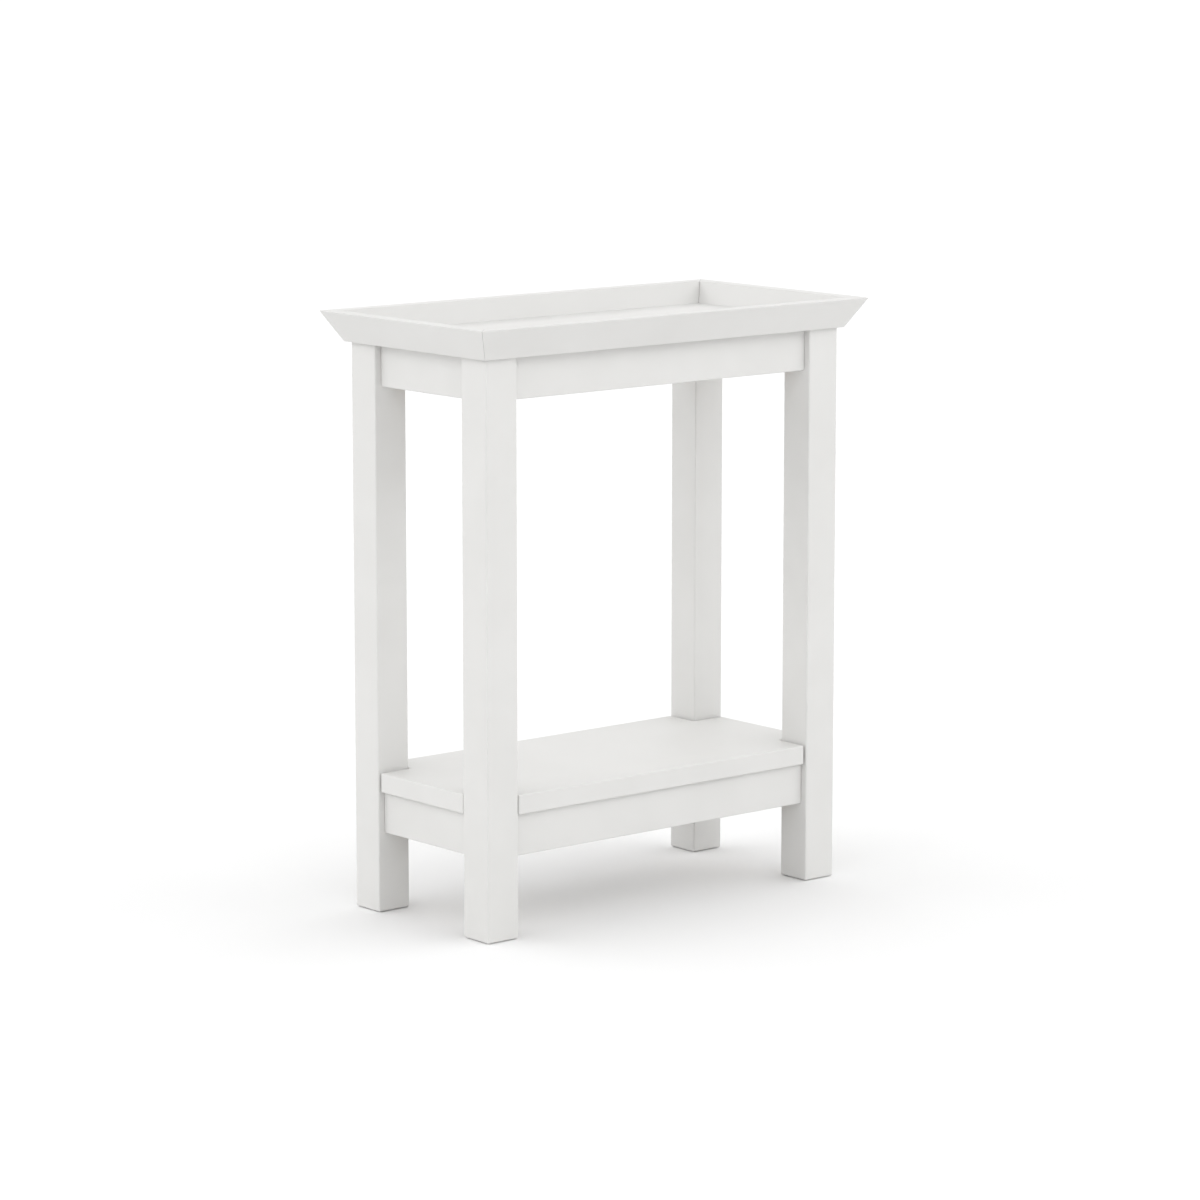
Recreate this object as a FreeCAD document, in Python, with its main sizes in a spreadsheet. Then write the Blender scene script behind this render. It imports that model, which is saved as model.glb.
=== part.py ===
import FreeCAD, Part
import os
import re
import Sketcher

# Console table with a flared tray top and a low shelf.
# Millimetres. +Z is up, X runs along the long side, and the origin is on the floor at the
# centre of the footprint. The front is -Y and the left end is -X.

DIMENSIONS = (
    # the frame
    ("frame_width", 600, "over the outer faces of the legs, along X"),
    ("frame_depth", 278, "over the outer faces of the legs, along Y"),
    ("leg_size", 50, "square section of a leg"),
    ("leg_height", 748, "length of a leg"),
    ("leg_round", 2, "radius of a leg's long edges"),
    ("leg_chamfer", 1.5, "chamfer around a leg's foot"),
    ("rail_height", 55, "height of an apron or a shelf rail"),
    ("rail_thickness", 22, "thickness of an apron or a shelf rail"),
    ("rail_recess", 9.5, "from the legs' outer faces back to a rail's face"),
    ("rail_round", 1.5, "radius of a rail's lower and upright edges"),
    ("rail_clearance", 105.5, "under a shelf rail, above the legs' feet"),
    # the shelf
    ("shelf_thickness", 26, "thickness of the shelf board"),
    ("shelf_recess", 2, "from the legs' outer faces back to the shelf's edge"),
    ("shelf_round", 2, "radius of the shelf's edges"),
    ("notch_gap", 2.6, "gap between a leg and its notch in the shelf"),
    # the tray
    ("panel_thickness", 12, "thickness of the tray's panel"),
    ("panel_inset", 2.5, "from the legs' outer faces back to the panel's edge"),
    ("tongue_thickness", 8, "thickness of the tongue around the panel's edge"),
    ("rim_height", 40, "height of the tray's rim"),
    ("rim_board", 18, "thickness of the board that the rim is cut from"),
    ("rim_overhang", 6.5, "from the legs' outer faces out to the rim's foot"),
    ("rim_flare", 23, "how far the rim leans out over its height"),
    ("rim_round", 0.8, "radius of the rim's long edges"),
    ("mitre_ease", 0.3, "chamfer that the two boards of a mitre have along their joint"),
    ("mitre_nail_gauge", 0.8, "thickness of a mitre nail"),
    ("mitre_nail_reach", 7, "length of each leg of a mitre nail"),
    ("mitre_nail_height", 10, "how deep a mitre nail goes"),
    ("mitre_nail_place", 2, "from the legs' outer faces out to a mitre nail"),
    # the corner blocks
    ("block_height", 45, "height of a corner block"),
    ("block_thickness", 22, "thickness of a corner block, across the corner"),
    ("block_gap", 4, "between a leg's inner corner and its corner block"),
    ("block_roof", 22, "wood over the seat of an upright screw"),
    ("block_screw_place", 58, "from the rails' inner corner to a corner block screw"),
    ("block_screw_seat", 12, "from a rail's inner face to a corner block screw's seat"),
    ("upright_screw_offset", 24, "from the corner's diagonal to an upright screw"),
    # dowels and hardware
    ("dowel_diameter", 8, "diameter of a dowel"),
    ("dowel_length", 40, "length of a dowel"),
    ("dowel_spacing", 28, "between the two dowels of a joint"),
    ("dowel_chamfer", 1, "chamfer of a dowel's ends"),
    ("bolt_diameter", 8, "diameter of a hanger bolt"),
    ("bolt_length", 75, "length of a hanger bolt"),
    ("bolt_tip", 7, "length of a hanger bolt's point"),
    ("bolt_chamfer", 1, "chamfer of a hanger bolt's other end"),
    ("bolt_bore", 9, "diameter of the hole for a hanger bolt in a corner block"),
    ("washer_diameter", 22, "diameter of a washer"),
    ("washer_bore", 8.4, "diameter of a washer's hole"),
    ("washer_thickness", 1.6, "thickness of a washer"),
    ("nut_flats", 13, "across the flats of a nut"),
    ("nut_height", 6.5, "height of a nut"),
    ("screw_diameter", 4, "diameter of a wood screw"),
    ("screw_tip", 5, "length of a wood screw's point"),
    ("screw_head_diameter", 8, "diameter of a wood screw's head"),
    ("screw_head_height", 2.6, "height of a wood screw's head"),
    ("screw_head_top", 4.8, "diameter of the flat top of a wood screw's head"),
    ("screw_head_rim", 1, "height of the upright rim of a wood screw's head"),
    ("screw_slot_width", 1, "width of the cross in a wood screw's head"),
    ("screw_slot_length", 4.4, "length of the cross in a wood screw's head"),
    ("screw_slot_depth", 1.4, "depth of the cross in a wood screw's head"),
    ("screw_seat_diameter", 9.5, "diameter of the hole that takes a wood screw's head"),
    ("block_screw_length", 25, "length of a corner block screw"),
    ("tray_screw_length", 30, "length of a screw up into the tray's panel"),
    ("shelf_screw_length", 40, "length of a screw up into the shelf"),
    # the feet
    ("glide_diameter", 22, "diameter of a foot glide"),
    ("glide_thickness", 4, "thickness of a foot glide"),
    ("glide_proud", 1, "how far a foot glide stands below the leg"),
    ("glide_chamfer", 0.5, "chamfer around a foot glide's sole"),
    ("glide_recess_diameter", 22.4, "diameter of the recess for a foot glide"),
    ("glide_pit_diameter", 7.5, "diameter of the pit for a glide nail's head"),
    ("glide_pit_depth", 2, "depth of the pit for a glide nail's head"),
    ("glide_nail_diameter", 2.2, "diameter of a glide nail"),
    ("glide_nail_length", 16, "length of a glide nail under its head"),
    ("glide_nail_tip", 3, "length of a glide nail's point"),
    ("glide_nail_head_diameter", 6.5, "diameter of a glide nail's head"),
    ("glide_nail_head_height", 1.2, "height of a glide nail's head"),
)

# Formulas that several sub-parts share.
LEG_TOP = "glide_proud + leg_height"
APRON_BOTTOM = "glide_proud + leg_height - rail_height"
RAIL_BOTTOM = "glide_proud + rail_clearance"
SHELF_BOTTOM = "glide_proud + rail_clearance + rail_height"
RAIL_INNER = "(rail_recess + rail_thickness - leg_size / 2)"
RAIL_MIDDLE = "(rail_recess + rail_thickness / 2 - leg_size / 2)"
BLOCK_NEAR = "(2 * (leg_size - rail_recess - rail_thickness) + block_gap * sqrt(2))"
BLOCK_FAR = "(%s + block_thickness * sqrt(2))" % BLOCK_NEAR
BLOCK_MIDDLE = "(%s + (%s + %s) / 4)" % (RAIL_INNER, BLOCK_NEAR, BLOCK_FAR)
RIM_WIDTH = "(rim_board * sqrt(rim_flare ^ 2 + rim_height ^ 2) / rim_height)"
RIM_INNER_TOP = "(rim_overhang + rim_flare - %s)" % RIM_WIDTH
RIM_INNER_FOOT = "(%s - rim_flare * (1 - panel_thickness / rim_height))" % RIM_INNER_TOP

# Each corner with the signs of its X and Y, and the turn that points its own +X and +Y inward.
CORNERS = (
    ("front_left", -1, -1, 0),
    ("front_right", 1, -1, 90),
    ("back_right", 1, 1, 180),
    ("back_left", -1, 1, 270),
)

# Each side with its turn, the outward signs of X and Y, and the size that runs along it.
SIDES = (
    ("front", 0, 0, -1, "frame_width"),
    ("right", 90, 1, 0, "frame_depth"),
    ("back", 180, 0, 1, "frame_width"),
    ("left", 270, -1, 0, "frame_depth"),
)

ALONG_X = FreeCAD.Vector(1, 0, 0)
ALONG_Y = FreeCAD.Vector(0, 1, 0)
DIAGONAL = FreeCAD.Vector(1, 1, 0)
UP = FreeCAD.Vector(0, 0, 1)
HERE = ("0", "0", "0")
TOLERANCE = 0.01
# Past a face, so that a cut leaves no skin behind.
THROUGH = "200"

doc = FreeCAD.newDocument("ConsoleTable")
sheet = doc.addObject("Spreadsheet::Sheet", "Dims")
aliases = set()
subparts = []


def fill_sheet():
    for row, (alias, size, note) in enumerate(DIMENSIONS, start=1):
        sheet.set("A%d" % row, alias)
        sheet.set("B%d" % row, str(size))
        sheet.set("C%d" % row, note)
        sheet.setAlias("B%d" % row, alias)
        aliases.add(alias)
    doc.recompute()


def measure(formula):
    """The present value of a formula of the sheet's aliases."""
    return float(sheet.evalExpression(formula))


def bind(item, target, formula):
    """Drive a property of item by a formula of the sheet's aliases."""
    def point_to_cell(match):
        word = match.group(0)
        return "Dims." + word if word in aliases else word
    item.setExpression(target, re.sub(r"[a-z_]+", point_to_cell, formula))


def turned_to(direction):
    """The rotation that brings +Z to direction."""
    return FreeCAD.Rotation(UP, direction)


def start_body(name):
    return doc.addObject("PartDesign::Body", name)


def attach(feature, body, plane):
    supports = [item for item in body.Origin.OriginFeatures if item.Role == plane]
    feature.AttachmentSupport = (supports[0], [""])
    feature.MapMode = "FlatFace"


def start_sketch(body, name, plane):
    sketch = body.newObject("Sketcher::SketchObject", name)
    attach(sketch, body, plane)
    return sketch


def locate(sketch, geometry, position, spot):
    """Dimension one point of the sketch from its origin, across and up."""
    for kind, formula in zip(("DistanceX", "DistanceY"), spot):
        constraint = Sketcher.Constraint(kind, -1, 1, geometry, position, measure(formula))
        number = sketch.addConstraint(constraint)
        bind(sketch, "Constraints[%d]" % number, formula)


def add_outline(sketch, spots):
    """Draw a closed outline through spots, each a pair of formulas."""
    first = sketch.GeometryCount
    count = len(spots)
    points = [FreeCAD.Vector(measure(across), measure(up), 0) for across, up in spots]
    for index, point in enumerate(points):
        sketch.addGeometry(Part.LineSegment(point, points[(index + 1) % count]))
    for index in range(count):
        following = first + (index + 1) % count
        sketch.addConstraint(Sketcher.Constraint("Coincident", first + index, 2, following, 1))
    for index, spot in enumerate(spots):
        locate(sketch, first + index, 1, spot)


def add_rectangle(sketch, low, high):
    left, bottom = low
    right, top = high
    add_outline(sketch, ((left, bottom), (right, bottom), (right, top), (left, top)))


def add_circle(sketch, spot, diameter):
    geometry = sketch.GeometryCount
    radius = "(%s) / 2" % diameter
    centre = FreeCAD.Vector(measure(spot[0]), measure(spot[1]), 0)
    sketch.addGeometry(Part.Circle(centre, UP, measure(radius)))
    locate(sketch, geometry, 3, spot)
    number = sketch.addConstraint(Sketcher.Constraint("Radius", geometry, measure(radius)))
    bind(sketch, "Constraints[%d]" % number, radius)


def pad(body, sketch, length, both_ways=False):
    feature = body.newObject("PartDesign::Pad", "Pad")
    feature.Profile = sketch
    feature.Midplane = both_ways
    bind(feature, "Length", length)
    doc.recompute()
    return feature


def spin(body, sketch):
    """Revolve a sketch about its own upright axis."""
    feature = body.newObject("PartDesign::Revolution", "Revolution")
    feature.Profile = sketch
    feature.ReferenceAxis = (sketch, ["V_Axis"])
    feature.Angle = 360
    doc.recompute()
    return feature


def check_cut(body, before, name):
    """Stop if a cut that was just made took nothing away."""
    if body.Shape.Volume > before - TOLERANCE:
        raise RuntimeError("%s removes nothing from %s" % (name, body.Name))


def pocket(body, sketch, length, upward=True):
    """Cut a sketch that lies in the XY plane out of the body, upward or downward."""
    before = body.Shape.Volume
    feature = body.newObject("PartDesign::Pocket", "Pocket")
    feature.Profile = sketch
    feature.Reversed = upward
    bind(feature, "Length", length)
    doc.recompute()
    check_cut(body, before, sketch.Name)


def drill(body, name, diameter, depth, start, direction):
    """Drill a round hole that starts at a point and runs along a direction."""
    before = body.Shape.Volume
    hole = body.newObject("PartDesign::SubtractiveCylinder", name)
    attach(hole, body, "XY_Plane")
    hole.AttachmentOffset = FreeCAD.Placement(FreeCAD.Vector(), turned_to(direction))
    bind(hole, "Radius", "(%s) / 2" % diameter)
    bind(hole, "Height", depth)
    for axis, formula in zip("xyz", start):
        bind(hole, "AttachmentOffset.Base." + axis, formula)
    doc.recompute()
    check_cut(body, before, name)


def edge_names(feature, is_wanted):
    edges = enumerate(feature.Shape.Edges, start=1)
    return ["Edge%d" % number for number, edge in edges if is_wanted(edge)]


def ease(body, kind, size, is_wanted):
    """Fillet or chamfer the wanted edges of the body as it stands."""
    base = body.Tip
    names = edge_names(base, is_wanted)
    feature = body.newObject("PartDesign::" + kind, kind)
    feature.Base = (base, names)
    bind(feature, "Radius" if kind == "Fillet" else "Size", size)
    doc.recompute()


def is_upright(edge):
    low, high = edge.BoundBox.ZMin, edge.BoundBox.ZMax
    across = max(edge.BoundBox.XLength, edge.BoundBox.YLength)
    return across < TOLERANCE and high - low > TOLERANCE


def lies_at(height):
    """A test for edges that lie flat at a height."""
    def is_wanted(edge):
        box = edge.BoundBox
        return abs(box.ZMin - height) < TOLERANCE and abs(box.ZMax - height) < TOLERANCE
    return is_wanted


def runs_along_x(edge):
    return edge.BoundBox.YLength < TOLERANCE and edge.BoundBox.ZLength < TOLERANCE


def set_down(item, label, place, angle):
    """Name a finished sub-part and put it in its place, turned about the vertical."""
    item.Label = label
    item.Placement = FreeCAD.Placement(FreeCAD.Vector(), FreeCAD.Rotation(UP, angle))
    for axis, formula in zip("xyz", place):
        bind(item, "Placement.Base." + axis, formula)
    subparts.append(item)


def corner_spot(sign_x, sign_y):
    """Formulas for where a leg's axis stands."""
    across = "%d * (frame_width - leg_size) / 2" % sign_x
    along = "%d * (frame_depth - leg_size) / 2" % sign_y
    return across, along


def side_spot(sign_x, sign_y, recess):
    """Formulas for the middle of a side, set back from the legs' outer faces."""
    across = "%d * (frame_width / 2 - (%s))" % (sign_x, recess)
    along = "%d * (frame_depth / 2 - (%s))" % (sign_y, recess)
    return across, along


def group_copies(master, label, placements):
    """One sub-part made of separate copies of a fastener."""
    links = []
    for number, placement in enumerate(placements, start=1):
        link = doc.addObject("App::Link", "%s_%d" % (label, number))
        link.LinkedObject = master
        link.Placement = placement
        links.append(link)
    group = doc.addObject("Part::Compound", "Group_" + label)
    group.Links = links
    group.Label = label
    subparts.append(group)


def at_each_corner(bases, places):
    """Placements of hardware: each place, in a corner's own frame, at every corner and height."""
    placements = []
    for base in bases:
        for name, sign_x, sign_y, angle in CORNERS:
            across, along = corner_spot(sign_x, sign_y)
            spot = FreeCAD.Vector(measure(across), measure(along), measure(base))
            corner = FreeCAD.Placement(spot, FreeCAD.Rotation(UP, angle))
            placements.extend(corner.multiply(place) for place in places)
    return placements


def place_at(spot, direction):
    """A placement that stands a fastener's own +Z along direction, at a spot of formulas."""
    point = FreeCAD.Vector(*[measure(formula) for formula in spot])
    return FreeCAD.Placement(point, turned_to(direction))


def make_leg(label, sign_x, sign_y, angle):
    """A square leg about its own axis, with its two inner faces at +X and +Y."""
    body = start_body("Leg")
    section = start_sketch(body, "Section", "XY_Plane")
    add_rectangle(section, ("-leg_size / 2", "-leg_size / 2"), ("leg_size / 2", "leg_size / 2"))
    pad(body, section, "leg_height")
    ease(body, "Fillet", "leg_round", is_upright)
    ease(body, "Chamfer", "leg_chamfer", lies_at(0))
    for level, bottom in (("Apron", "leg_height - rail_height"), ("Rail", "rail_clearance")):
        middle = "%s + rail_height / 2" % bottom
        for sign in "-+":
            height = "%s %s dowel_spacing / 2" % (middle, sign)
            inner = "leg_size / 2 - dowel_length / 2"
            reach = "dowel_length"
            drill(body, level + "DowelX", "dowel_diameter", reach, (inner, RAIL_MIDDLE, height), ALONG_X)
            drill(body, level + "DowelY", "dowel_diameter", reach, (RAIL_MIDDLE, inner, height), ALONG_Y)
        drill(body, level + "Bolt", "bolt_diameter", "leg_size", ("0", "0", middle), DIAGONAL)
    recess = "glide_thickness - glide_proud"
    drill(body, "GlideRecess", "glide_recess_diameter", recess, HERE, UP)
    nail_depth = "glide_pit_depth - glide_proud + glide_nail_length"
    drill(body, "GlideNail", "glide_nail_diameter", nail_depth, HERE, UP)
    set_down(body, label, corner_spot(sign_x, sign_y) + ("glide_proud",), angle)


def make_rail(label, bottom, sign_x, sign_y, angle, span):
    """An apron or a shelf rail: its outer face is at y = 0 and its length is along X."""
    body = start_body("Rail")
    end = "(%s / 2 - leg_size)" % span
    section = start_sketch(body, "Plan", "XY_Plane")
    add_rectangle(section, ("-" + end, "0"), (end, "rail_thickness"))
    pad(body, section, "rail_height")
    floor = lies_at(0)
    ease(body, "Fillet", "rail_round", lambda edge: floor(edge) or is_upright(edge))
    for sign, into in (("-", ALONG_X), ("+", -ALONG_X)):
        for step in "-+":
            height = "rail_height / 2 %s dowel_spacing / 2" % step
            start = (sign + end, "rail_thickness / 2", height)
            drill(body, "Dowel", "dowel_diameter", "dowel_length / 2", start, into)
        screw = "%s(%s + leg_size - rail_recess - rail_thickness - block_screw_place)" % (sign, end)
        depth = "block_screw_length - block_screw_seat"
        start = (screw, "rail_thickness", "rail_height / 2")
        drill(body, "BlockScrew", "screw_diameter", depth, start, -ALONG_Y)
    spot = side_spot(sign_x, sign_y, "rail_recess")
    set_down(body, label, spot + (bottom,), angle)


def make_corner_block(label, bottom, sign_x, sign_y, angle):
    """A block across a corner, in the frame of its leg's axis, with the bolt on the diagonal."""
    body = start_body("CornerBlock")
    near = "%s + %s" % (RAIL_INNER, BLOCK_NEAR)
    far = "%s + %s" % (RAIL_INNER, BLOCK_FAR)
    plan = start_sketch(body, "Plan", "XY_Plane")
    corners = ((near, RAIL_INNER), (far, RAIL_INNER), (RAIL_INNER, far), (RAIL_INNER, near))
    add_outline(plan, corners)
    pad(body, plan, "block_height")
    bolt_height = "block_height - rail_height / 2"
    drill(body, "Bolt", "bolt_bore", THROUGH, ("0", "0", bolt_height), DIAGONAL)
    out = "%s + block_screw_place" % RAIL_INNER
    seat = "%s + block_screw_seat" % RAIL_INNER
    for name, width, level in (("Screw", "screw_diameter", "0"), ("Seat", "screw_seat_diameter", seat)):
        drill(body, name + "Y", width, THROUGH, (out, level, bolt_height), ALONG_Y)
        drill(body, name + "X", width, THROUGH, (level, out, bolt_height), ALONG_X)
    for across, along in upright_screw_spots():
        drill(body, "Upright", "screw_diameter", THROUGH, (across, along, "0"), UP)
        seat_depth = "block_height - block_roof"
        drill(body, "UprightSeat", "screw_seat_diameter", seat_depth, (across, along, "0"), UP)
    set_down(body, label, corner_spot(sign_x, sign_y) + (bottom,), angle)


def upright_screw_spots():
    """Where a corner block's two upright screws stand, in the frame of its leg's axis."""
    step = "upright_screw_offset / sqrt(2)"
    more = "%s + %s" % (BLOCK_MIDDLE, step)
    less = "%s - %s" % (BLOCK_MIDDLE, step)
    return ((more, less), (less, more))


def screw_pilots(body, depth):
    """Pilot holes in the underside of a board that lies centred over the corner blocks."""
    for name, sign_x, sign_y, angle in CORNERS:
        centre_x, centre_y = corner_spot(sign_x, sign_y)
        for across, along in upright_screw_spots():
            start = (
                "%s - %d * (%s)" % (centre_x, sign_x, across),
                "%s - %d * (%s)" % (centre_y, sign_y, along),
                "0",
            )
            drill(body, "Pilot", "screw_diameter", depth, start, UP)


def make_shelf():
    """The shelf board, notched around the four legs and resting on the shelf rails."""
    body = start_body("Shelf")
    outer_x = "(frame_width / 2 - shelf_recess)"
    outer_y = "(frame_depth / 2 - shelf_recess)"
    notch_x = "(frame_width / 2 - leg_size - notch_gap)"
    notch_y = "(frame_depth / 2 - leg_size - notch_gap)"
    spots = []
    for sign_x, sign_y in ((-1, -1), (1, -1), (1, 1), (-1, 1)):
        on_side = ("%d * %s" % (sign_x, outer_x), "%d * %s" % (sign_y, notch_y))
        inside = ("%d * %s" % (sign_x, notch_x), "%d * %s" % (sign_y, notch_y))
        on_front = ("%d * %s" % (sign_x, notch_x), "%d * %s" % (sign_y, outer_y))
        notch = [on_side, inside, on_front]
        spots.extend(notch if sign_x == sign_y else notch[::-1])
    plan = start_sketch(body, "Plan", "XY_Plane")
    add_outline(plan, spots)
    pad(body, plan, "shelf_thickness")
    top = lies_at(measure("shelf_thickness"))
    bottom = lies_at(0)
    inside_corner = measure(notch_x) + measure(notch_y)

    def is_outer_corner(edge):
        spot = edge.BoundBox.Center
        return is_upright(edge) and abs(spot.x) + abs(spot.y) > inside_corner + TOLERANCE

    ease(body, "Fillet", "shelf_round", lambda edge: top(edge) or bottom(edge) or is_outer_corner(edge))
    screw_pilots(body, "shelf_screw_length - block_roof")
    set_down(body, "shelf_board", ("0", "0", SHELF_BOTTOM), 0)


def make_tray_panel():
    """The tray's bottom, with a thin tongue all round that the rim's groove covers."""
    body = start_body("TrayPanel")
    outlines = (
        ("Tongue", "- panel_inset", "tongue_thickness"),
        ("Field", "+ " + RIM_INNER_FOOT, "panel_thickness"),
    )
    for name, inset, thickness in outlines:
        half_x = "(frame_width / 2 %s)" % inset
        half_y = "(frame_depth / 2 %s)" % inset
        outline = start_sketch(body, name, "XY_Plane")
        add_rectangle(outline, ("-" + half_x, "-" + half_y), (half_x, half_y))
        pad(body, outline, thickness)
    screw_pilots(body, "tray_screw_length - block_roof")
    set_down(body, "tray_panel", ("0", "0", LEG_TOP), 0)


def make_tray_rim(label, sign_x, sign_y, angle, span):
    """A leaning rim board, grooved for the panel: y = 0 is the legs' outer face, outward is -Y."""
    body = start_body("TrayRim")
    profile = start_sketch(body, "Profile", "YZ_Plane")
    outline = (
        ("panel_inset", "0"),
        ("-rim_overhang", "0"),
        ("-(rim_overhang + rim_flare)", "rim_height"),
        ("-" + RIM_INNER_TOP, "rim_height"),
        ("-" + RIM_INNER_FOOT, "panel_thickness"),
        ("-" + RIM_INNER_FOOT, "tongue_thickness"),
        ("panel_inset", "tongue_thickness"),
    )
    add_outline(profile, outline)
    reach = "(2 * (rim_overhang + rim_flare))"
    pad(body, profile, "%s + 2 * %s" % (span, reach), both_ways=True)
    sharp = (measure("panel_inset"), measure("-" + RIM_INNER_FOOT))

    def is_shown(edge):
        depth = edge.BoundBox.YMin
        return runs_along_x(edge) and all(abs(depth - place) > TOLERANCE for place in sharp)

    ease(body, "Fillet", "rim_round", is_shown)
    mitres = start_sketch(body, "Mitres", "XY_Plane")
    for sign in (1, -1):
        within = "%d * (%s / 2 - %s)" % (sign, span, reach)
        beyond = "%d * (%s / 2 + %s)" % (sign, span, reach)
        far = "%d * (%s / 2 + 2 * %s)" % (sign, span, reach)
        add_outline(mitres, ((within, reach), (beyond, "-" + reach), (far, "-" + reach), (far, reach)))
    pocket(body, mitres, "rim_height")
    half_span = measure(span + " / 2")
    seam_floor = measure("panel_thickness") - TOLERANCE

    def is_seam(edge):
        ends = [vertex.Point for vertex in edge.Vertexes]
        on_mitre = all(abs(abs(end.x) - half_span + end.y) < TOLERANCE for end in ends)
        outside = edge.BoundBox.YMax < -measure("rim_overhang") + measure("rim_round")
        return on_mitre and not runs_along_x(edge) and (outside or edge.BoundBox.ZMin > seam_floor)

    ease(body, "Chamfer", "mitre_ease", is_seam)
    slots = start_sketch(body, "MitreNailSlots", "XY_Plane")
    outer = "-(mitre_nail_place + mitre_nail_gauge / 2)"
    inner = "-(mitre_nail_place - mitre_nail_gauge / 2)"
    for sign in (1, -1):
        start = "%d * (%s / 2 + mitre_nail_place - mitre_nail_reach)" % (sign, span)
        end = "%d * (%s / 2 + mitre_nail_reach)" % (sign, span)
        add_rectangle(slots, (start, outer), (end, inner))
    pocket(body, slots, "mitre_nail_height")
    spot = side_spot(sign_x, sign_y, "0")
    set_down(body, label, spot + (LEG_TOP,), angle)


def make_mitre_nails():
    """Four bent steel nails, each across one mitre of the rim, pushed up from below."""
    body = start_body("MitreNail")
    plan = start_sketch(body, "Plan", "XY_Plane")
    outer = "-(mitre_nail_place + mitre_nail_gauge / 2)"
    inner = "-(mitre_nail_place - mitre_nail_gauge / 2)"
    end = "(mitre_nail_reach - mitre_nail_place)"
    spots = (
        (outer, outer), (end, outer), (end, inner),
        (inner, inner), (inner, end), (outer, end),
    )
    add_outline(plan, spots)
    pad(body, plan, "mitre_nail_height")
    corner = FreeCAD.Vector(-measure("leg_size / 2"), -measure("leg_size / 2"), 0)
    place = FreeCAD.Placement(corner, FreeCAD.Rotation())
    group_copies(body, "tray_mitre_nails", at_each_corner((LEG_TOP,), (place,)))


def make_dowels():
    """Round beech dowels along +Z, two in each end of every apron and shelf rail."""
    body = start_body("Dowel")
    half = "dowel_diameter / 2"
    outline = (
        ("0", "0"),
        (half + " - dowel_chamfer", "0"),
        (half, "dowel_chamfer"),
        (half, "dowel_length - dowel_chamfer"),
        (half + " - dowel_chamfer", "dowel_length"),
        ("0", "dowel_length"),
    )
    profile = start_sketch(body, "Profile", "XZ_Plane")
    add_outline(profile, outline)
    spin(body, profile)
    inner = "leg_size / 2 - dowel_length / 2"
    places = []
    for sign in "-+":
        height = "rail_height / 2 %s dowel_spacing / 2" % sign
        places.append(place_at((inner, RAIL_MIDDLE, height), ALONG_X))
        places.append(place_at((RAIL_MIDDLE, inner, height), ALONG_Y))
    group_copies(body, "apron_dowels", at_each_corner((APRON_BOTTOM,), places))
    group_copies(body, "shelf_rail_dowels", at_each_corner((RAIL_BOTTOM,), places))


def make_hanger_bolts():
    """Hanger bolts along the diagonals, with a washer and a nut on each corner block."""
    both = (APRON_BOTTOM, RAIL_BOTTOM)
    radius = "bolt_diameter / 2"
    bolt = start_body("HangerBolt")
    profile = start_sketch(bolt, "Profile", "XZ_Plane")
    outline = (
        ("0", "0"),
        (radius, "bolt_tip"),
        (radius, "bolt_length - bolt_chamfer"),
        (radius + " - bolt_chamfer", "bolt_length"),
        ("0", "bolt_length"),
    )
    add_outline(profile, outline)
    spin(bolt, profile)
    start = place_at(("0", "0", "rail_height / 2"), DIAGONAL)
    group_copies(bolt, "hanger_bolts", at_each_corner(both, (start,)))

    face = "sqrt(2) * %s + %s / sqrt(2)" % (RAIL_INNER, BLOCK_FAR)
    washer = start_body("Washer")
    ring = start_sketch(washer, "Ring", "XY_Plane")
    add_circle(ring, ("0", "0"), "washer_diameter")
    add_circle(ring, ("0", "0"), "washer_bore")
    pad(washer, ring, "washer_thickness")
    along = "(%s) / sqrt(2)" % face
    seat = place_at((along, along, "rail_height / 2"), DIAGONAL)
    group_copies(washer, "hanger_bolt_washers", at_each_corner(both, (seat,)))

    nut = start_body("Nut")
    hexagon = start_sketch(nut, "Hexagon", "XY_Plane")
    corner = "nut_flats / sqrt(3)"
    half_corner = "nut_flats / sqrt(3) / 2"
    half_flats = "nut_flats / 2"
    spots = (
        (corner, "0"),
        (half_corner, half_flats),
        ("-" + half_corner, half_flats),
        ("-" + corner, "0"),
        ("-" + half_corner, "-" + half_flats),
        (half_corner, "-" + half_flats),
    )
    add_outline(hexagon, spots)
    add_circle(hexagon, ("0", "0"), "bolt_diameter")
    pad(nut, hexagon, "nut_height")
    along = "(%s + washer_thickness) / sqrt(2)" % face
    seat = place_at((along, along, "rail_height / 2"), DIAGONAL)
    group_copies(nut, "hanger_bolt_nuts", at_each_corner(both, (seat,)))


def make_screw(length):
    """A pan-head wood screw that points up +Z, with the seat of its head at z = 0."""
    body = start_body("Screw")
    radius = "screw_diameter / 2"
    head = "screw_head_diameter / 2"
    outline = (
        ("0", length),
        ("0", "-screw_head_height"),
        ("screw_head_top / 2", "-screw_head_height"),
        (head, "-screw_head_rim"),
        (head, "0"),
        (radius, "0"),
        (radius, length + " - screw_tip"),
    )
    profile = start_sketch(body, "Profile", "XZ_Plane")
    add_outline(profile, outline)
    spin(body, profile)
    cross = start_sketch(body, "Cross", "XY_Plane")
    bind(cross, "AttachmentOffset.Base.z", "-screw_head_height")
    arm = "screw_slot_length / 2"
    side = "screw_slot_width / 2"
    spots = (
        (arm, "-" + side), (arm, side), (side, side), (side, arm),
        ("-" + side, arm), ("-" + side, side), ("-" + arm, side), ("-" + arm, "-" + side),
        ("-" + side, "-" + side), ("-" + side, "-" + arm), (side, "-" + arm), (side, "-" + side),
    )
    add_outline(cross, spots)
    pocket(body, cross, "screw_slot_depth")
    return body


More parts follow.
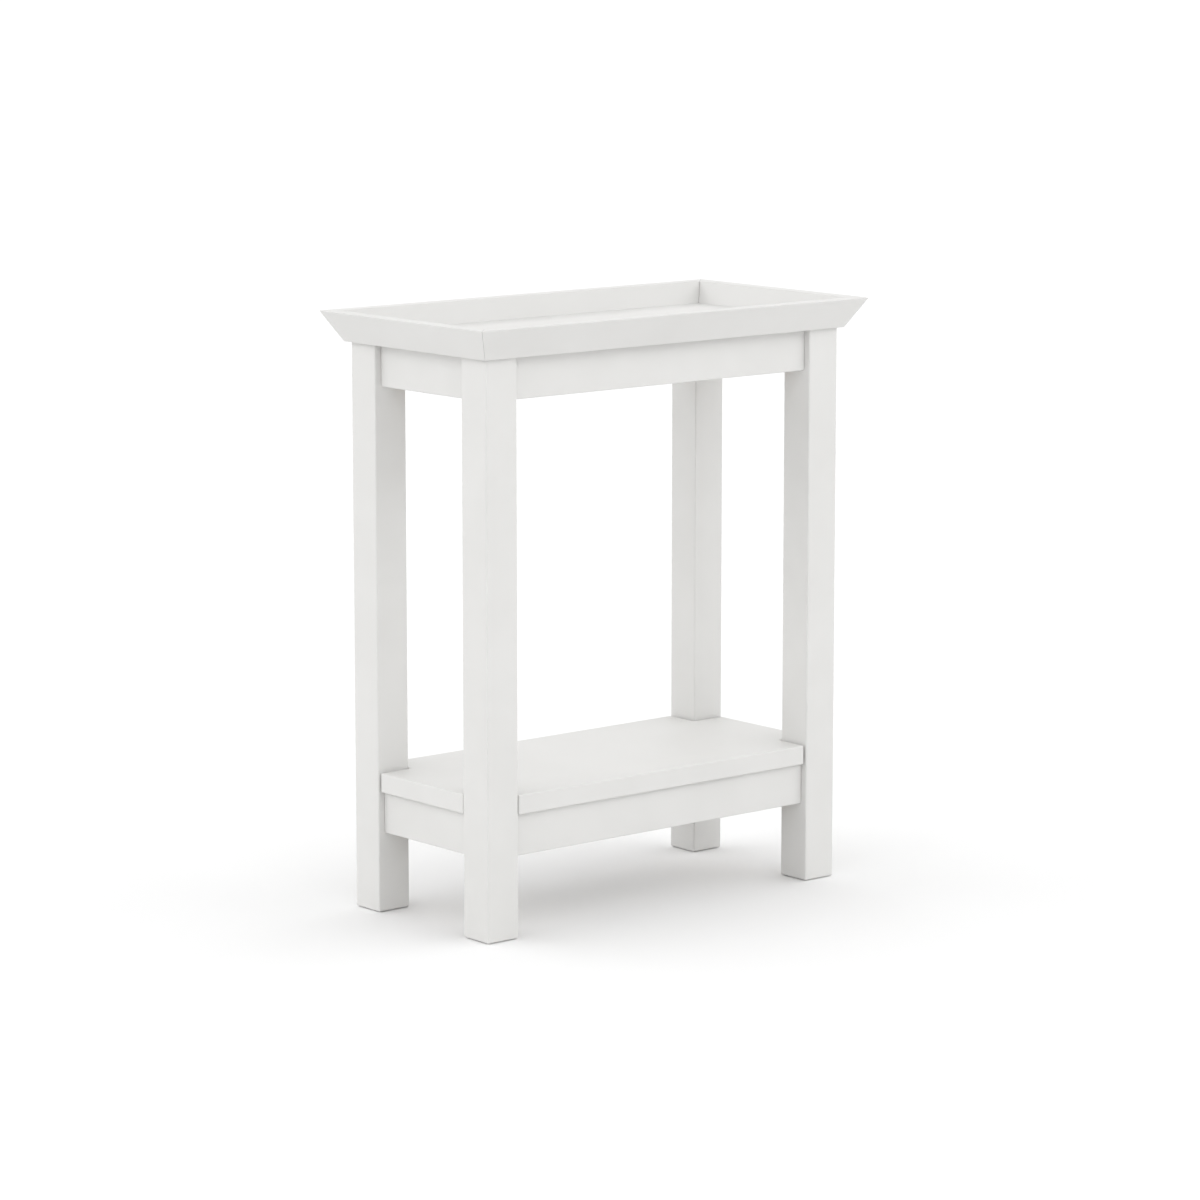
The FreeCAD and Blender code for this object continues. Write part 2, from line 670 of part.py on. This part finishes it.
def make_screws():
    """Screws from the corner blocks into the rails, the tray's panel and the shelf."""
    block_bottoms = (LEG_TOP + " - block_height", SHELF_BOTTOM + " - block_height")
    out = "%s + block_screw_place" % RAIL_INNER
    seat = "%s + block_screw_seat" % RAIL_INNER
    height = "block_height - rail_height / 2"
    sideways = (place_at((out, seat, height), -ALONG_Y), place_at((seat, out, height), -ALONG_X))
    places = at_each_corner(block_bottoms, sideways)
    group_copies(make_screw("block_screw_length"), "corner_block_screws", places)
    upright = [
        place_at((across, along, "block_height - block_roof"), UP)
        for across, along in upright_screw_spots()
    ]
    places = at_each_corner(block_bottoms[:1], upright)
    group_copies(make_screw("tray_screw_length"), "tray_screws", places)
    places = at_each_corner(block_bottoms[1:], upright)
    group_copies(make_screw("shelf_screw_length"), "shelf_screws", places)


def make_glide(label, sign_x, sign_y, angle):
    """A plastic glide in the recess of a leg's foot, pitted for the head of its nail."""
    body = start_body("Glide")
    sole = start_sketch(body, "Sole", "XY_Plane")
    add_circle(sole, ("0", "0"), "glide_diameter")
    pad(body, sole, "glide_thickness")
    ease(body, "Chamfer", "glide_chamfer", lies_at(0))
    drill(body, "Pit", "glide_pit_diameter", "glide_pit_depth", HERE, UP)
    drill(body, "Nail", "glide_nail_diameter", THROUGH, HERE, UP)
    set_down(body, label, corner_spot(sign_x, sign_y) + ("0",), angle)


def make_glide_nails():
    """A steel nail up through the middle of each glide."""
    body = start_body("GlideNail")
    radius = "glide_nail_diameter / 2"
    head = "glide_nail_head_diameter / 2"
    outline = (
        ("0", "-glide_nail_head_height"),
        (head, "-glide_nail_head_height"),
        (head, "0"),
        (radius, "0"),
        (radius, "glide_nail_length - glide_nail_tip"),
        ("0", "glide_nail_length"),
    )
    profile = start_sketch(body, "Profile", "XZ_Plane")
    add_outline(profile, outline)
    spin(body, profile)
    place = FreeCAD.Placement()
    group_copies(body, "foot_glide_nails", at_each_corner(("glide_pit_depth",), (place,)))


def make_table():
    for name, sign_x, sign_y, angle in CORNERS:
        make_leg("leg_" + name, sign_x, sign_y, angle)
        make_glide("foot_glide_" + name, sign_x, sign_y, angle)
        upper = LEG_TOP + " - block_height"
        lower = SHELF_BOTTOM + " - block_height"
        make_corner_block("upper_corner_block_" + name, upper, sign_x, sign_y, angle)
        make_corner_block("lower_corner_block_" + name, lower, sign_x, sign_y, angle)
    for name, angle, sign_x, sign_y, span in SIDES:
        make_rail("apron_" + name, APRON_BOTTOM, sign_x, sign_y, angle, span)
        make_rail("shelf_rail_" + name, RAIL_BOTTOM, sign_x, sign_y, angle, span)
        make_tray_rim("tray_rim_" + name, sign_x, sign_y, angle, span)
    make_tray_panel()
    make_shelf()
    make_mitre_nails()
    make_dowels()
    make_hanger_bolts()
    make_screws()
    make_glide_nails()


def check_document():
    for item in doc.Objects:
        if "Invalid" in item.State or "Error" in item.State:
            raise RuntimeError("%s did not recompute: %s" % (item.Name, item.State))
    for item in subparts:
        if item.Shape.isNull() or not item.Shape.isValid():
            raise RuntimeError("%s has no valid shape" % item.Label)


def write_parts():
    os.makedirs("parts", exist_ok=True)
    for item in subparts:
        item.Shape.exportStep("parts/%s.step" % item.Label)
        print("%s: %d solids, %.0f mm3" % (item.Label, len(item.Shape.Solids), item.Shape.Volume))


fill_sheet()
make_table()
doc.recompute()
check_document()
write_parts()
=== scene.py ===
import math

import bpy
from mathutils import Euler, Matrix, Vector


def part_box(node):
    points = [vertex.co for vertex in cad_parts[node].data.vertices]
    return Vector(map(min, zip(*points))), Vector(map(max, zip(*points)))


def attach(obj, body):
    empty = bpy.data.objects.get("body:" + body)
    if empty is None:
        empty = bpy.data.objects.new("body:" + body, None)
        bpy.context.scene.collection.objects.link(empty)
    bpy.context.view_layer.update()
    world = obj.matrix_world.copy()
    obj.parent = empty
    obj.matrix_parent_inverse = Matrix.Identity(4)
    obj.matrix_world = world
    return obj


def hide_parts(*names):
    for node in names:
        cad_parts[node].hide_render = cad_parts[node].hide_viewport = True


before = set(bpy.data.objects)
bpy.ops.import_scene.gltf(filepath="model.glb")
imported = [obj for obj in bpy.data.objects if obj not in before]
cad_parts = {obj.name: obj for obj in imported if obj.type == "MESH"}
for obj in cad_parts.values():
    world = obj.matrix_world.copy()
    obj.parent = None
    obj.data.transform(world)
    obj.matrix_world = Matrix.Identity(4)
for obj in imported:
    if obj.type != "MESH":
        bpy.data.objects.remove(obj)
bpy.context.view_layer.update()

# The looks of the console table. Metres, +Z up, front -Y, left end -X.

CORNERS = ("front_left", "front_right", "back_right", "back_left")
SIDES = ("front", "right", "back", "left")

# Where most values of a noise fall, and the colour sockets of a mix node.
NOISE_SPAN = (0.3, 0.7)
MIX_FIRST = 6
MIX_SECOND = 7
MIX_RESULT = 2

# Materials. A cell is the size of a texture's features, tones are the (place, colour) stops
# of a ramp, roughness is a (low, high) span, and relief is the height of the bumps.
PAINT_MOTTLE_CELL = 0.09
PAINT_GRAIN_CELL = (0.11, 0.0016)
PAINT_PEEL_CELL = 0.0011
PAINT_TONES = ((0.35, (0.656, 0.652, 0.638)), (0.65, (0.674, 0.670, 0.657)))
PAINT_ROUGHNESS = (0.40, 0.54)
PAINT_GRAIN_SHEEN = 0.4
PAINT_MOTTLE_SHEEN = 0.6
PAINT_GRAIN_HEIGHT = 0.8
PAINT_PEEL_HEIGHT = 0.35
PAINT_RELIEF = 0.00005

# The painted shade along each mitre joint, standing in for the shade in the gap between the rims:
# half its width, and how much light it keeps.
MITRE_SHADE_HALF_WIDTH = 0.0003
MITRE_SHADE_LEVEL = 0.6

BEECH_RING_CELL = (0.16, 0.006, 0.012)
BEECH_FLECK_CELL = (0.010, 0.0009, 0.0009)
BEECH_RING_TONES = (
    (0.30, (0.43, 0.27, 0.14)), (0.50, (0.55, 0.37, 0.20)), (0.72, (0.62, 0.44, 0.26)))
BEECH_FLECK_TONES = ((0.36, (0.62, 0.55, 0.48)), (0.52, (1, 1, 1)))
BEECH_ROUGHNESS = (0.50, 0.72)
BEECH_RELIEF = 0.0002

ZINC_CLOUD_CELL = 0.006
ZINC_GRIT_CELL = 0.0005
ZINC_TONES = (
    (0.30, (0.56, 0.57, 0.60)), (0.55, (0.66, 0.66, 0.67)), (0.75, (0.70, 0.68, 0.62)))
ZINC_ROUGHNESS = (0.24, 0.42)
ZINC_RELIEF = 0.00002

NYLON_CLOUD_CELL = 0.008
NYLON_GRIT_CELL = 0.0006
NYLON_TONES = ((0.3, (0.55, 0.54, 0.50)), (0.7, (0.62, 0.61, 0.57)))
NYLON_ROUGHNESS = (0.45, 0.6)
NYLON_RELIEF = 0.00003

# Hardware, all standard sizes: M8 hanger bolts with their washers and nuts.
# An edge sharper than CRISP is not smoothed over.
CRISP = math.radians(35)
BOLT_RADIUS = 0.004
BOLT_SHANK = 0.0036
BOLT_POINT = 0.007
BOLT_TIP_SHARE = 0.12
BOLT_END_CHAMFER = 0.001
WOOD_THREAD_SHARE = 0.48
WOOD_PITCH = 0.003
WOOD_DEPTH = 0.0011
MACHINE_THREAD_START = 0.62
MACHINE_PITCH = 0.00125
MACHINE_DEPTH = 0.00068
THREAD_STEP = 0.0003125
THREAD_SIDES = 24
NUT_FLATS = 0.013
NUT_CHAMFER_SLOPE = math.tan(math.radians(30))
NUT_BORE_CHAMFER = 0.0006
NUT_SIDES = 72
WASHER_RADIUS = 0.011
WASHER_BORE = 0.0042
WASHER_ROLL_SHARE = 0.35
WASHER_ROLL_STEPS = 4
WASHER_SIDES = 64

# The sky: the camera's own right as (x, y), and the ring of light's (height, level) stops.
SIDE = (0.764, -0.645)
RING = ((0, 0), (0.20, 0.25), (0.45, 1), (0.70, 0.62), (1, 0.03))
RING_STRENGTH = 1.55
# The ring's gain in front of the camera and behind it, and what is added to it at both sides.
FRONT_GAIN = 1.25
SIDE_GAIN = 0.6
HORIZON_STRENGTH = 1.0

FLOOR_HALF = 60
FLOOR_LEVEL = 0.88

# The camera's focal length and sensor are in millimetres.
CAMERA_LENS = 133.2
CAMERA_SENSOR = 36
CAMERA_CLIP_END = 200
CAMERA_PLACE = (-3.7424, -4.4337, 1.3748)
CAMERA_TILT = math.radians(90 - 9.583)
CAMERA_HEADING = math.radians(-40.195)


# ---------------------------------------------------------------- shader helpers

def triple(value):
    """The same value three times: an even texture cell, or a grey."""
    return (value, value, value)


def along(axis, length, width):
    """A texture cell that is long along one axis and narrow across it."""
    return tuple(length if name == axis else width for name in "xyz")


class Wiring:
    """Short ways to add and join the nodes of one node tree."""

    def __init__(self, tree):
        self.tree = tree

    def node(self, kind, **settings):
        made = self.tree.nodes.new(kind)
        for key, value in settings.items():
            setattr(made, key, value)
        return made

    def join(self, source, target):
        self.tree.links.new(source, target)

    def ramp(self, value, stops):
        """The colour that the (place, colour) stops give for a value."""
        ramp = self.node("ShaderNodeValToRGB")
        elements = ramp.color_ramp.elements
        while len(elements) < len(stops):
            elements.new(0.5)
        for element, (position, colour) in zip(elements, stops):
            element.position = position
            element.color = (*colour, 1)
        self.join(value, ramp.inputs["Fac"])
        return ramp.outputs["Color"]

    def remap(self, value, low, high, source=NOISE_SPAN):
        """A value's place in the source span, carried over to the span from low to high."""
        remap = self.node("ShaderNodeMapRange")
        remap.inputs["From Min"].default_value = source[0]
        remap.inputs["From Max"].default_value = source[1]
        remap.inputs["To Min"].default_value = low
        remap.inputs["To Max"].default_value = high
        self.join(value, remap.inputs["Value"])
        return remap.outputs["Result"]

    def calculate(self, operation, *values):
        """The result of one operation. Each value is a number or another node's output."""
        made = self.node("ShaderNodeMath", operation=operation)
        for socket, value in zip(made.inputs, values):
            if isinstance(value, (int, float)):
                socket.default_value = value
            else:
                self.join(value, socket)
        return made.outputs["Value"]

    def weighted(self, first, first_weight, second, second_weight):
        """The sum of two values, each times its weight."""
        return self.calculate(
            "ADD",
            self.calculate("MULTIPLY", first, first_weight),
            self.calculate("MULTIPLY", second, second_weight))

    def tinted(self, colour, tint):
        """One colour times another."""
        mix = self.node("ShaderNodeMix", data_type="RGBA", blend_type="MULTIPLY")
        mix.inputs["Factor"].default_value = 1
        self.join(colour, mix.inputs[MIX_FIRST])
        self.join(tint, mix.inputs[MIX_SECOND])
        return mix.outputs[MIX_RESULT]


class Shader(Wiring):
    """A node material and its main surface shader."""

    def __init__(self, name):
        self.material = bpy.data.materials.new(name)
        self.material.use_nodes = True
        super().__init__(self.material.node_tree)
        self.surface = self.tree.nodes["Principled BSDF"]

    def place(self, cell, turn=(0, 0, 0)):
        """Object coordinates, turned, and scaled so that a texture's features fill one cell."""
        coordinates = self.node("ShaderNodeTexCoord")
        mapping = self.node("ShaderNodeMapping", vector_type="TEXTURE")
        mapping.inputs["Rotation"].default_value = turn
        mapping.inputs["Scale"].default_value = cell
        self.join(coordinates.outputs["Object"], mapping.inputs["Vector"])
        return mapping.outputs["Vector"]

    def noise(self, vector, detail=3, roughness=0.5, distortion=0):
        texture = self.node("ShaderNodeTexNoise")
        texture.inputs["Scale"].default_value = 1
        texture.inputs["Detail"].default_value = detail
        texture.inputs["Roughness"].default_value = roughness
        texture.inputs["Distortion"].default_value = distortion
        self.join(vector, texture.inputs["Vector"])
        return texture.outputs["Fac"]

    def complete(self, colour, roughness, height, relief):
        """Joins up the surface, its bumps as high as the relief, and gives the material."""
        bump = self.node("ShaderNodeBump")
        bump.inputs["Strength"].default_value = 1
        bump.inputs["Distance"].default_value = relief
        self.join(height, bump.inputs["Height"])
        self.join(bump.outputs["Normal"], self.surface.inputs["Normal"])
        self.join(colour, self.surface.inputs["Base Color"])
        self.join(roughness, self.surface.inputs["Roughness"])
        return self.material


# ---------------------------------------------------------------- materials

def painted_mitre_shade(shader, colour):
    """The colour, darkened along the tray's four mitre joints: painted shade of the gap at each
    mitre.
    """
    leg_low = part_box("leg_front_left")[0]
    overhang = abs(leg_low.x) - abs(leg_low.y)
    split = shader.node("ShaderNodeSeparateXYZ")
    shader.join(shader.node("ShaderNodeTexCoord").outputs["Object"], split.inputs["Vector"])
    far_x = shader.calculate("ABSOLUTE", split.outputs["X"])
    far_y = shader.calculate("ABSOLUTE", split.outputs["Y"])
    offset = shader.calculate("SUBTRACT", shader.calculate("SUBTRACT", far_x, far_y), overhang)
    distance = shader.calculate("MULTIPLY", shader.calculate("ABSOLUTE", offset), math.sqrt(0.5))
    shade = shader.remap(distance, MITRE_SHADE_LEVEL, 1, source=(MITRE_SHADE_HALF_WIDTH / 2, MITRE_SHADE_HALF_WIDTH))
    return shader.tinted(colour, shade)


def painted_wood(axis, mitre_shaded=False):
    """Satin white paint, with the wood's grain just telegraphing through along one axis. The
    mitre-shaded kind also has painted shade along the tray's mitre joints.
    """
    shader = Shader("white_paint_" + axis + ("_mitred" if mitre_shaded else ""))
    mottle = shader.noise(shader.place(triple(PAINT_MOTTLE_CELL)), detail=2)
    grain = shader.noise(shader.place(along(axis, *PAINT_GRAIN_CELL)), detail=4, roughness=0.6)
    peel = shader.noise(shader.place(triple(PAINT_PEEL_CELL)), detail=1)
    colour = shader.ramp(mottle, PAINT_TONES)
    # Painted shade: the colour is darkened along the mitre joints, where the gap between the rims
    # would be in shade.
    if mitre_shaded:
        colour = painted_mitre_shade(shader, colour)
    sheen = shader.weighted(grain, PAINT_GRAIN_SHEEN, mottle, PAINT_MOTTLE_SHEEN)
    height = shader.weighted(grain, PAINT_GRAIN_HEIGHT, peel, PAINT_PEEL_HEIGHT)
    return shader.complete(colour, shader.remap(sheen, *PAINT_ROUGHNESS), height, PAINT_RELIEF)


def bare_wood(name, heading):
    """Planed beech, its grain level at this heading: pale brown, with fine darker flecks."""
    shader = Shader(name)
    turn = (0, 0, heading)
    rings = shader.noise(shader.place(BEECH_RING_CELL, turn), detail=3, distortion=0.4)
    flecks = shader.noise(shader.place(BEECH_FLECK_CELL, turn), detail=3, roughness=0.65)
    colour = shader.tinted(
        shader.ramp(rings, BEECH_RING_TONES), shader.ramp(flecks, BEECH_FLECK_TONES))
    return shader.complete(colour, shader.remap(flecks, *BEECH_ROUGHNESS), flecks, BEECH_RELIEF)


def zinc_plate():
    """Bright zinc plate with a faint bloom."""
    shader = Shader("zinc_plate")
    shader.surface.inputs["Metallic"].default_value = 1
    cloud = shader.noise(shader.place(triple(ZINC_CLOUD_CELL)), detail=4)
    grit = shader.noise(shader.place(triple(ZINC_GRIT_CELL)), detail=2)
    colour = shader.ramp(cloud, ZINC_TONES)
    return shader.complete(colour, shader.remap(cloud, *ZINC_ROUGHNESS), grit, ZINC_RELIEF)


def nylon():
    """Off-white moulded nylon."""
    shader = Shader("nylon")
    cloud = shader.noise(shader.place(triple(NYLON_CLOUD_CELL)), detail=3)
    grit = shader.noise(shader.place(triple(NYLON_GRIT_CELL)), detail=2)
    colour = shader.ramp(cloud, NYLON_TONES)
    return shader.complete(colour, shader.remap(cloud, *NYLON_ROUGHNESS), grit, NYLON_RELIEF)


def give(node, material):
    """Puts a material on a CAD node."""
    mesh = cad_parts[node].data
    mesh.materials.clear()
    mesh.materials.append(material)


def dress_cad_nodes(metal):
    """Gives every CAD node its material. Grain runs along each board."""
    paint = {axis: painted_wood(axis) for axis in "xyz"}
    # Paint for the tray's rims, with painted shade along their mitre joints.
    mitre_shaded_paint = {axis: painted_wood(axis, mitre_shaded=True) for axis in "xy"}
    falling_wood = bare_wood("beech_falling", -math.pi / 4)
    rising_wood = bare_wood("beech_rising", math.pi / 4)
    dowel_wood = bare_wood("beech_dowel", 0)
    plastic = nylon()
    for corner in CORNERS:
        block_wood = falling_wood if corner in ("front_left", "back_right") else rising_wood
        give("leg_" + corner, paint["z"])
        give("upper_corner_block_" + corner, block_wood)
        give("lower_corner_block_" + corner, block_wood)
        give("foot_glide_" + corner, plastic)
    for side in SIDES:
        axis = "x" if side in ("front", "back") else "y"
        give("apron_" + side, paint[axis])
        give("shelf_rail_" + side, paint[axis])
        give("tray_rim_" + side, mitre_shaded_paint[axis])
    for node in ("tray_panel", "shelf_board"):
        give(node, paint["x"])
    for node in ("apron_dowels", "shelf_rail_dowels"):
        give(node, dowel_wood)
    for node in ("hanger_bolts", "hanger_bolt_washers", "hanger_bolt_nuts", "corner_block_screws",
                 "tray_screws", "shelf_screws", "tray_mitre_nails", "foot_glide_nails"):
        give(node, metal)


# ---------------------------------------------------------------- turned hardware

def add_piece(name, points, faces, material, node):
    """A mesh that stands for a CAD node of the hardware, with smooth faces and crisp edges."""
    mesh = bpy.data.meshes.new(name)
    mesh.from_pydata(points, [], faces)
    mesh.validate()
    mesh.materials.append(material)
    mesh.shade_smooth()
    mesh.set_sharp_from_angle(angle=CRISP)
    piece = bpy.data.objects.new(name, mesh)
    bpy.context.scene.collection.objects.link(piece)
    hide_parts(node)
    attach(piece, "root")


def wrap(rows, closed):
    """Points and faces of a skin over rows of points.

    A closed skin joins the last row to the first. An open one has a face over each end.
    """
    around = len(rows[0])
    points = [point for row in rows for point in row]
    faces = []
    bands = len(rows) if closed else len(rows) - 1
    for row in range(bands):
        below = row * around
        above = (row + 1) % len(rows) * around
        for step in range(around):
            beside = (step + 1) % around
            faces.append((below + step, below + beside, above + beside, above + step))
    if not closed:
        faces.append(tuple(reversed(range(around))))
        faces.append(tuple(range(len(points) - around, len(points))))
    return points, faces


def gather(skins):
    """Several skins as one list of points and one list of faces."""
    points, faces = [], []
    for skin_points, skin_faces in skins:
        shift = len(points)
        points.extend(skin_points)
        faces.extend(tuple(index + shift for index in face) for face in skin_faces)
    return points, faces


def bolt_lines():
    """The start and direction of each hanger bolt: from a leg's axis, diagonally inward."""
    low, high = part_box("hanger_bolts")
    for corner in CORNERS:
        leg_low, leg_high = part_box("leg_" + corner)
        axis = (leg_low + leg_high) / 2
        inward = Vector((-math.copysign(1, axis.x), -math.copysign(1, axis.y), 0)).normalized()
        for height in (low.z + BOLT_RADIUS, high.z - BOLT_RADIUS):
            yield Vector((axis.x, axis.y, height)), inward


def reach_of(node):
    """How far along its bolt a piece of the node starts and ends."""
    start, inward = next(bolt_lines())
    distances = [
        (vertex.co - start).dot(inward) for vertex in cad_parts[node].data.vertices
        if vertex.co.x * start.x > 0 and vertex.co.y * start.y > 0
    ]
    return min(distances), max(distances)


def ring_about(start, inward, distance, radii):
    """A row of points around a bolt's line, one for each radius."""
    up = Vector((0, 0, 1))
    side = inward.cross(up)
    row = []
    for step, radius in enumerate(radii):
        angle = math.tau * step / len(radii)
        out = side * math.cos(angle) + up * math.sin(angle)
        row.append(start + inward * distance + out * radius)
    return row


def thread_depth(distance, turn, pitch, depth):
    """How deep a sharp V thread cuts at this distance along it and this part of a turn."""
    phase = (distance / pitch - turn) % 1
    return depth * (1 - abs(2 * phase - 1))


def bolt_skin(start, inward, length):
    """A hanger bolt: a wood thread that starts at a point, a plain shank and an M8 thread."""
    rows = []
    wood_end = length * WOOD_THREAD_SHARE
    machine_start = length * MACHINE_THREAD_START
    distance = 0
    while distance < length + THREAD_STEP / 2:
        taper = min(1, BOLT_TIP_SHARE + (1 - BOLT_TIP_SHARE) * distance / BOLT_POINT)
        end_cut = max(0, distance - (length - BOLT_END_CHAMFER))
        radii = []
        for step in range(THREAD_SIDES):
            turn = step / THREAD_SIDES
            radius = BOLT_SHANK
            if distance < wood_end:
                radius = BOLT_RADIUS * taper
                radius -= thread_depth(distance, turn, WOOD_PITCH, WOOD_DEPTH) * taper
            elif distance > machine_start:
                radius = BOLT_RADIUS - thread_depth(distance, turn, MACHINE_PITCH, MACHINE_DEPTH)
            radii.append(min(radius, BOLT_RADIUS - end_cut))
        rows.append(ring_about(start, inward, min(distance, length), radii))
        distance += THREAD_STEP
    return wrap(rows, closed=False)


def nut_skin(start, inward, near, far):
    """A hexagon nut, its corners rounded off by a cone at both ends, with a chamfered bore."""
    flat = NUT_FLATS / 2
    corner = NUT_FLATS / math.sqrt(3)
    chamfer = (corner - flat) * NUT_CHAMFER_SLOPE
    bands = (near, near + chamfer / 3, near + chamfer, far - chamfer, far - chamfer / 3, far)
    rows = []
    for distance in bands:
        into_chamfer = max(0, near + chamfer - distance, distance - far + chamfer)
        cone = corner - into_chamfer / NUT_CHAMFER_SLOPE
        radii = []
        for step in range(NUT_SIDES):
            angle = (math.tau * step / NUT_SIDES) % (math.pi / 3) - math.pi / 6
            radii.append(min(flat / math.cos(angle), cone))
        rows.append(ring_about(start, inward, distance, radii))
    bore_mouth = BOLT_RADIUS + NUT_BORE_CHAMFER
    bore = (
        (far, bore_mouth), (far - NUT_BORE_CHAMFER, BOLT_RADIUS),
        (near + NUT_BORE_CHAMFER, BOLT_RADIUS), (near, bore_mouth))
    for distance, radius in bore:
        rows.append(ring_about(start, inward, distance, [radius] * NUT_SIDES))
    return wrap(rows, closed=True)


def washer_skin(start, inward, near, far):
    """A stamped washer: the outer edge rolls over on one face, and is square on the other."""
    roll = (far - near) * WASHER_ROLL_SHARE
    section = [(near, WASHER_RADIUS)]
    for step in range(WASHER_ROLL_STEPS + 1):
        angle = math.pi / 2 * step / WASHER_ROLL_STEPS
        distance = far - roll + roll * math.sin(angle)
        section.append((distance, WASHER_RADIUS - roll + roll * math.cos(angle)))
    section.append((far, WASHER_BORE + roll / 3))
    section.append((far - roll / 3, WASHER_BORE))
    section.append((near, WASHER_BORE))
    rows = [
        ring_about(start, inward, distance, [radius] * WASHER_SIDES)
        for distance, radius in section
    ]
    return wrap(rows, closed=True)


def add_hanger_hardware(metal):
    """Threaded bolts, washers and nuts in place of the plain ones."""
    length = reach_of("hanger_bolts")[1]
    washer, nut = reach_of("hanger_bolt_washers"), reach_of("hanger_bolt_nuts")
    hardware = {
        "hanger_bolts": [bolt_skin(*line, length) for line in bolt_lines()],
        "hanger_bolt_washers": [washer_skin(*line, *washer) for line in bolt_lines()],
        "hanger_bolt_nuts": [nut_skin(*line, *nut) for line in bolt_lines()],
    }
    for node, skins in hardware.items():
        points, faces = gather(skins)
        add_piece("detailed_" + node, points, faces, metal, node)


# ---------------------------------------------------------------- stage

def add_floor():
    """A plain pale floor that fills the view."""
    half = FLOOR_HALF
    mesh = bpy.data.meshes.new("floor")
    corners = [(-half, -half, 0), (half, -half, 0), (half, half, 0), (-half, half, 0)]
    mesh.from_pydata(corners, [], [(0, 1, 2, 3)])
    floor = bpy.data.objects.new("floor", mesh)
    bpy.context.scene.collection.objects.link(floor)
    shader = Shader("floor")
    shader.surface.inputs["Base Color"].default_value = (*triple(FLOOR_LEVEL), 1)
    shader.surface.inputs["Roughness"].default_value = 1
    shader.surface.inputs["Specular IOR Level"].default_value = 0
    mesh.materials.append(shader.material)


def add_sky():
    """A ring of soft light, brightest 27 degrees up and at both sides, over a white horizon."""
    world = bpy.data.worlds.new("studio")
    bpy.context.scene.world = world
    world.use_nodes = True
    sky = Wiring(world.node_tree)
    coordinates = sky.node("ShaderNodeTexCoord")
    split = sky.node("ShaderNodeSeparateXYZ")
    sky.join(coordinates.outputs["Generated"], split.inputs["Vector"])
    x, y, height = split.outputs["X"], split.outputs["Y"], split.outputs["Z"]
    flat = sky.weighted(x, x, y, y)
    sideways = sky.weighted(x, SIDE[0], y, SIDE[1])
    share = sky.calculate("DIVIDE", sky.calculate("MULTIPLY", sideways, sideways), flat)
    around = sky.calculate("ADD", sky.calculate("MULTIPLY", share, SIDE_GAIN), FRONT_GAIN)
    ring = sky.ramp(height, tuple((place, triple(level)) for place, level in RING))
    glow = sky.calculate("MULTIPLY", sky.calculate("MULTIPLY", ring, around), RING_STRENGTH)
    horizon = sky.remap(height, HORIZON_STRENGTH, 0, source=(0, RING[1][0]))
    background = world.node_tree.nodes["Background"]
    background.inputs["Color"].default_value = (1, 1, 1, 1)
    sky.join(sky.calculate("ADD", glow, horizon), background.inputs["Strength"])


def add_camera():
    """A long lens above the table's top, off its near left corner, looking slightly down."""
    data = bpy.data.cameras.new("camera")
    camera = bpy.data.objects.new("camera", data)
    bpy.context.scene.collection.objects.link(camera)
    data.sensor_width = CAMERA_SENSOR
    data.lens = CAMERA_LENS
    data.clip_end = CAMERA_CLIP_END
    camera.location = CAMERA_PLACE
    camera.rotation_euler = Euler((CAMERA_TILT, 0, CAMERA_HEADING))
    bpy.context.scene.camera = camera


# ---------------------------------------------------------------- finish


zinc = zinc_plate()
dress_cad_nodes(zinc)
add_hanger_hardware(zinc)
add_floor()
add_sky()
add_camera()
bpy.context.scene.view_settings.view_transform = "Standard"
